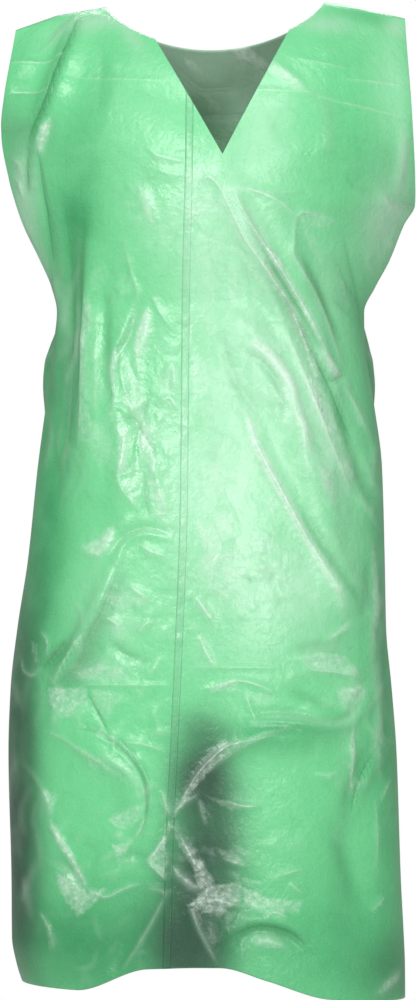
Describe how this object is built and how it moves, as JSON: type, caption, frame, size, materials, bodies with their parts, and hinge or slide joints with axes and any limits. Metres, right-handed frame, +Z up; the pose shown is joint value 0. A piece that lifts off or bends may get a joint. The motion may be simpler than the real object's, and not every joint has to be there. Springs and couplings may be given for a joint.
{
  "type": "disposable apron",
  "caption": "Sleeveless V-neck tabard apron of thin translucent green plastic film in its worn shape, with open armholes, a drawn-in waist and an A-line skirt.",
  "frame": {"origin": "between the shoulders on the shoulder line, where the worn apron is carried", "axes": "+Z up, -Y out of the front, +X towards the right-hand side of whoever looks at the front"},
  "size_m": [0.3926, 0.2502, 0.9449],
  "materials": {
    "front_film": "thin embossed translucent film, crinkled, with a soft sheen",
    "back_film": "the same film, darker and greyer where it is seen from inside",
    "lap_film": "the same film doubled, deeper green"
  },
  "bodies": {
    "root": {"front_panel": "front_film", "back_panel": "back_film", "front_lap": "lap_film"}
  },
  "joints": []
}
